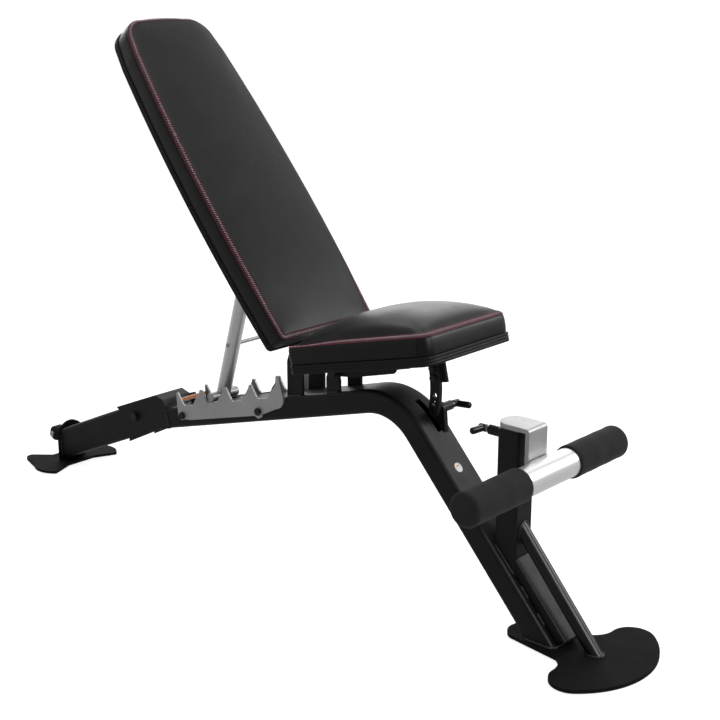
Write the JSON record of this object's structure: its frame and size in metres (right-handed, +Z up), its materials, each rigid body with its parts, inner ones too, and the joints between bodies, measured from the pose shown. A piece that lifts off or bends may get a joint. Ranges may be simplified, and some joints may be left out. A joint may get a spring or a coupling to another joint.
{
  "type": "adjustable weight bench",
  "caption": "Folding incline weight bench with a reclining back pad on a notched ladder, a tilting seat and a height-adjustable foam roller leg holder.",
  "frame": {"origin": "on the floor under the middle of the whole bench", "axes": "+X from the back pad towards the leg holder, +Z up, +Y to the left of a person who sits facing +X"},
  "size_m": [1.6588, 0.453, 1.0467],
  "materials": {
    "frame_paint": "satin black powder coat",
    "silver_paint": "metallic silver paint",
    "zinc": "bright zinc plate",
    "black_steel": "black oxide",
    "knob_plastic": "moulded black",
    "trim_plastic": "ribbed black",
    "rubber_black": "moulded",
    "pad_leather": "black leatherette with red and pale stitching",
    "foam_black": "closed-cell foam sleeve"
  },
  "bodies": {
    "frame": {"back_pivot_plates": "frame_paint", "fold_pin_barrel": "black_steel", "fold_pivot_bolt": "black_steel", "fold_pivot_nut": "black_steel", "fold_washers": "zinc", "front_brace_tube": "frame_paint", "front_foot_plate": "frame_paint", "front_rubber_feet": "rubber_black", "hinge_sleeve": "frame_paint", "ladder_bolts": "black_steel", "ladder_plate_left": "silver_paint", "ladder_plate_right": "silver_paint", "ladder_tie_bar": "silver_paint", "leg_bumper": "rubber_black", "leg_holder_post": "frame_paint", "leg_pin_barrel": "black_steel", "leg_stiffener": "frame_paint", "main_beam": "frame_paint", "seat_pin_barrel": "black_steel", "seat_pin_stand": "frame_paint", "seat_pivot_pin": "black_steel", "seat_pivot_plates": "frame_paint", "strut_stop": "rubber_black"},
    "rear_leg": {"rear_leg_tube": "frame_paint", "rear_foot_plate": "frame_paint", "rear_rubber_feet": "rubber_black", "wheel_axle": "zinc"},
    "wheel_left": {"transport_wheel_left": "rubber_black"},
    "wheel_right": {"transport_wheel_right": "rubber_black"},
    "back_hinge_pin": {"back_pivot_pin": "black_steel"},
    "back": {"back_frame": "frame_paint", "back_board": "trim_plastic", "back_pad": "pad_leather"},
    "strut_hinge_pin": {"strut_pivot_pin": "black_steel"},
    "strut": {"strut_tube": "silver_paint", "strut_foot_bar": "silver_paint", "strut_cross_rod": "silver_paint"},
    "seat": {"seat_frame": "frame_paint", "seat_board": "trim_plastic", "seat_pad": "pad_leather", "seat_sector_bar": "frame_paint", "sector_bolts": "black_steel"},
    "leg_holder": {"holder_slide_tube": "zinc", "holder_bracket": "silver_paint", "holder_cross_tube": "silver_paint", "holder_axle": "zinc", "foam_pad_left": "foam_black", "foam_pad_right": "foam_black"},
    "seat_pin": {"seat_pin_plunger": "zinc", "seat_pin_spring": "zinc", "seat_pin_grip": "knob_plastic"},
    "leg_pin": {"leg_pin_plunger": "zinc", "leg_pin_spring": "zinc", "leg_pin_grip": "knob_plastic"},
    "fold_pin": {"fold_pin_plunger": "zinc", "fold_pin_spring": "zinc", "fold_pin_grip": "knob_plastic"}
  },
  "joints": [
    {"name": "back_raise", "type": "hinge", "parent": "frame", "child": "back_hinge_pin", "pos_m": [0.054, 0, 0.448], "axis": [0, -1, 0], "range_deg": [-29, 0]},
    {"name": "back_recline", "type": "hinge", "parent": "back_hinge_pin", "child": "back", "pos_m": [0.054, 0, 0.448], "axis": [0, -1, 0], "range_deg": [0, 50]},
    {"name": "strut_follow_raise", "type": "hinge", "parent": "back", "child": "strut_hinge_pin", "pos_m": [-0.095, 0, 0.622], "axis": [0, -1, 0], "range_deg": [0, 34.8]},
    {"name": "strut_follow_recline", "type": "hinge", "parent": "strut_hinge_pin", "child": "strut", "pos_m": [-0.095, 0, 0.622], "axis": [0, -1, 0], "range_deg": [-95, 0]},
    {"name": "seat_tilt", "type": "hinge", "parent": "frame", "child": "seat", "pos_m": [0.148, 0, 0.405], "axis": [0, 1, 0], "range_deg": [0, 8]},
    {"name": "rear_leg_fold", "type": "hinge", "parent": "frame", "child": "rear_leg", "pos_m": [-0.447, 0, 0.186], "axis": [0, -1, 0], "range_deg": [0, 80]},
    {"name": "leg_holder_lift", "type": "slide", "parent": "frame", "child": "leg_holder", "axis": [0, 0, 1], "range_m": [0, 0.09]},
    {"name": "seat_pin_pull", "type": "slide", "parent": "frame", "child": "seat_pin", "axis": [0, 1, 0], "range_m": [-0.0075, 0]},
    {"name": "leg_pin_pull", "type": "slide", "parent": "frame", "child": "leg_pin", "axis": [-1, 0, 0], "range_m": [-0.0075, 0]},
    {"name": "fold_pin_pull", "type": "slide", "parent": "frame", "child": "fold_pin", "axis": [0, 1, 0], "range_m": [-0.0075, 0]},
    {"name": "wheel_left_spin", "type": "hinge", "parent": "rear_leg", "child": "wheel_left", "pos_m": [-0.768, 0.021, 0.07], "axis": [0, 1, 0], "continuous": true},
    {"name": "wheel_right_spin", "type": "hinge", "parent": "rear_leg", "child": "wheel_right", "pos_m": [-0.768, -0.021, 0.07], "axis": [0, 1, 0], "continuous": true}
  ],
  "couplings": [
    {"joint": "strut_follow_raise", "follows": "back_raise", "ratio": -1.2},
    {"joint": "strut_follow_recline", "follows": "back_recline", "ratio": -1.9}
  ]
}
